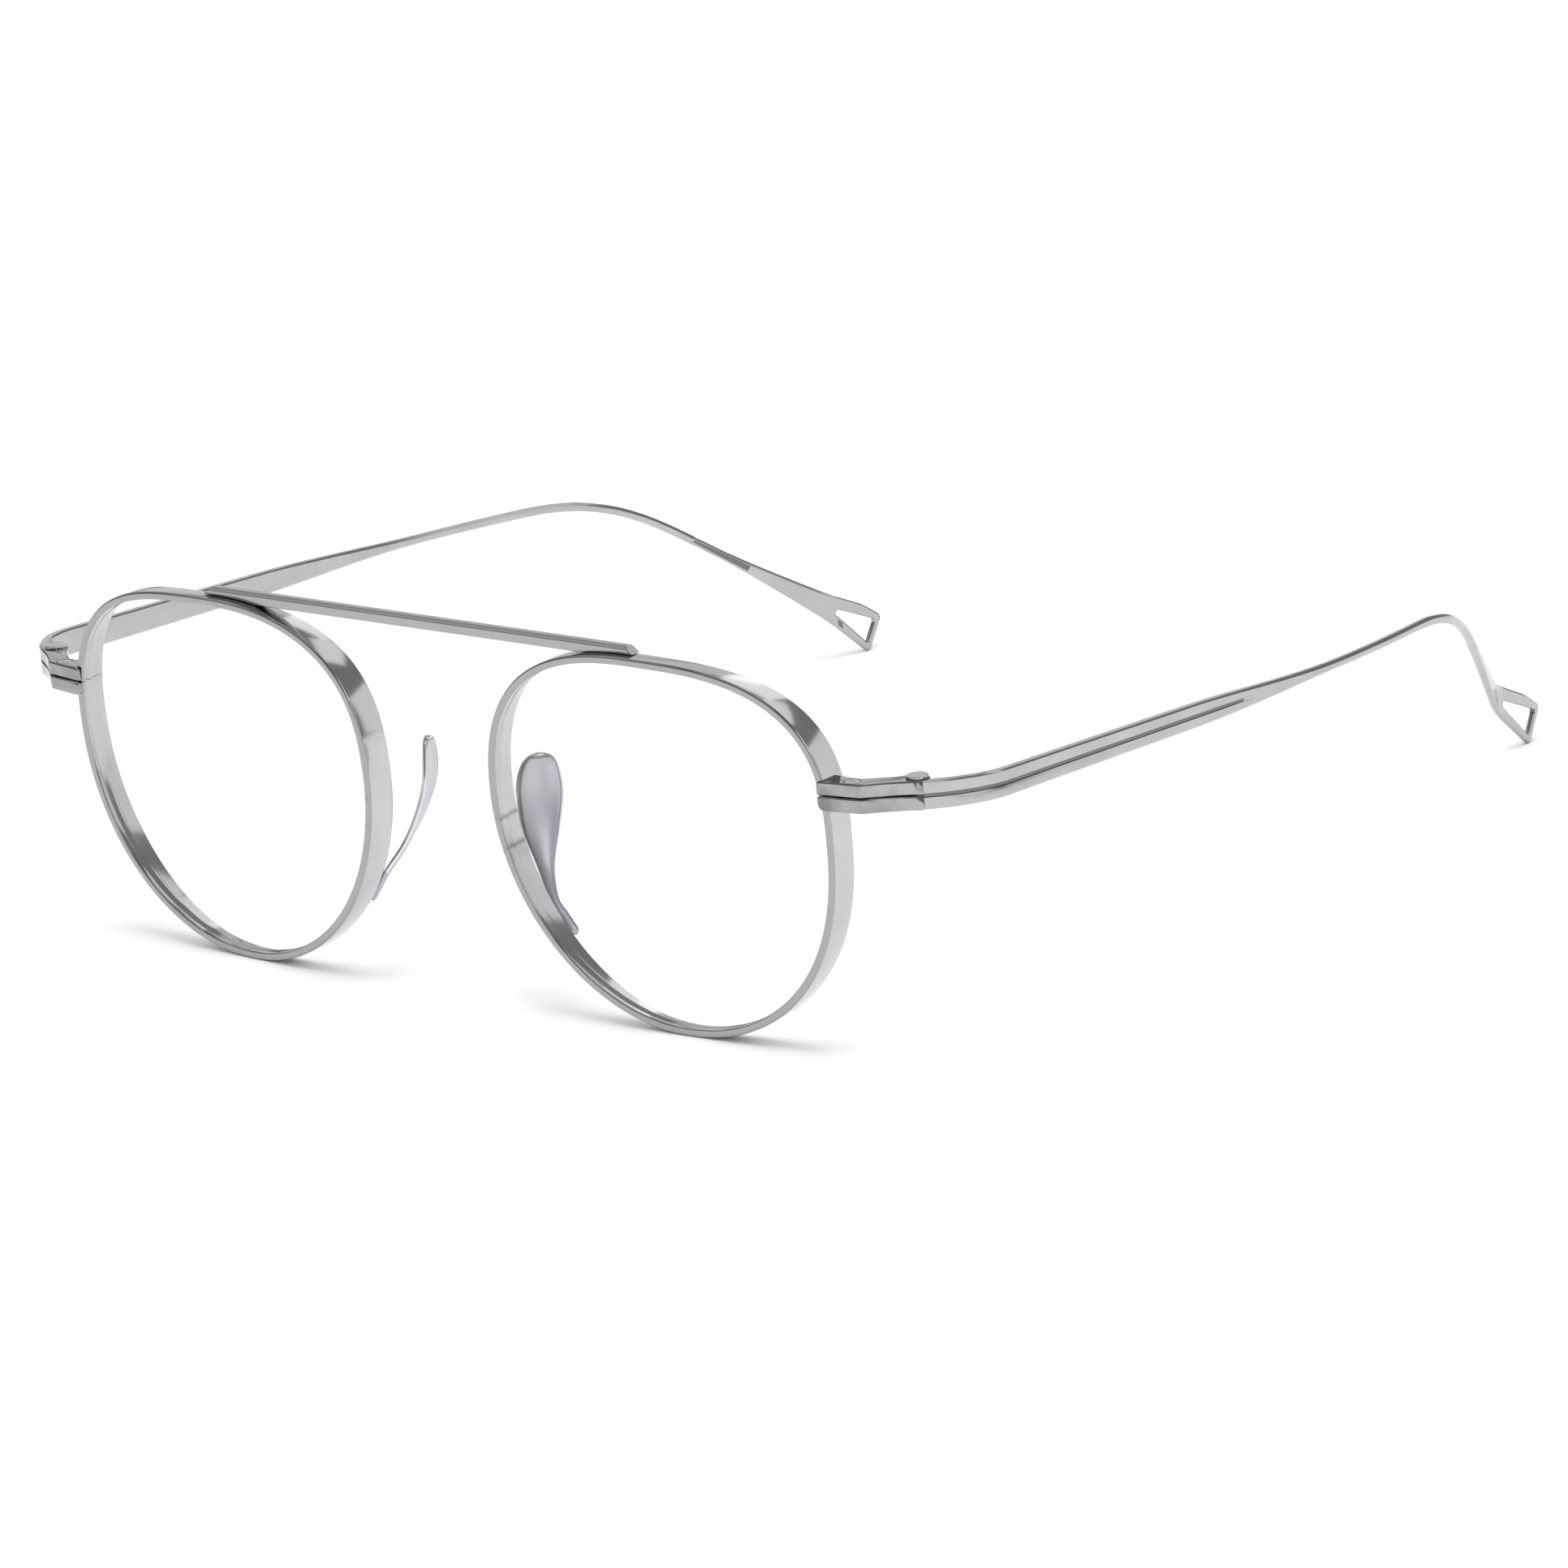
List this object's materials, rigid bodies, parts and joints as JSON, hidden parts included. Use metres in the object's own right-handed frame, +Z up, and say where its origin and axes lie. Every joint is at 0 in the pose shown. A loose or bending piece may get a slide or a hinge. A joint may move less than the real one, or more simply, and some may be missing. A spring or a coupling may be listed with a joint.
{
  "type": "round eyeglasses",
  "caption": "Thin metal full-rim eyeglasses with near-round lenses, a straight bar across the rims, bare metal nose pads and folding temples with looped tips.",
  "frame": {"origin": "centre of the footprint, on the surface that the rim bottoms and the temple tips stand on", "axes": "+Z up, the front of the frame faces -Y, the open temples run back along +Y, +X is the wearer's left"},
  "size_m": [0.1526, 0.1456, 0.0476],
  "materials": {
    "frame_metal": "polished titanium",
    "bar_metal": "satin titanium",
    "pad_metal": "satin titanium",
    "temple_metal": "satin titanium",
    "screw": "polished steel",
    "washer": "nylon",
    "lens": "clear acrylic with an anti-reflection coating"
  },
  "bodies": {
    "front": {"rim_left": "frame_metal", "rim_right": "frame_metal", "lens_left": "lens", "lens_right": "lens", "nose_pad_left": "pad_metal", "nose_pad_right": "pad_metal", "endpiece_upper_left": "frame_metal", "endpiece_upper_right": "frame_metal", "endpiece_lower_left": "frame_metal", "endpiece_lower_right": "frame_metal", "rim_screw_left": "screw", "rim_screw_right": "screw", "hinge_screw_left": "screw", "hinge_screw_right": "screw", "hinge_washers_left": "washer", "hinge_washers_right": "washer", "bridge_bar": "bar_metal"},
    "temple_left": {"temple_left": "temple_metal"},
    "temple_right": {"temple_right": "temple_metal"}
  },
  "joints": [
    {"name": "temple_left_fold", "type": "hinge", "parent": "front", "child": "temple_left", "pos_m": [0.06964, -0.06338, 0.03245], "axis": [0, 0, 1], "range_deg": [0, 83]},
    {"name": "temple_right_fold", "type": "hinge", "parent": "front", "child": "temple_right", "pos_m": [-0.06964, -0.06338, 0.03245], "axis": [0, 0, -1], "range_deg": [0, 79]}
  ]
}
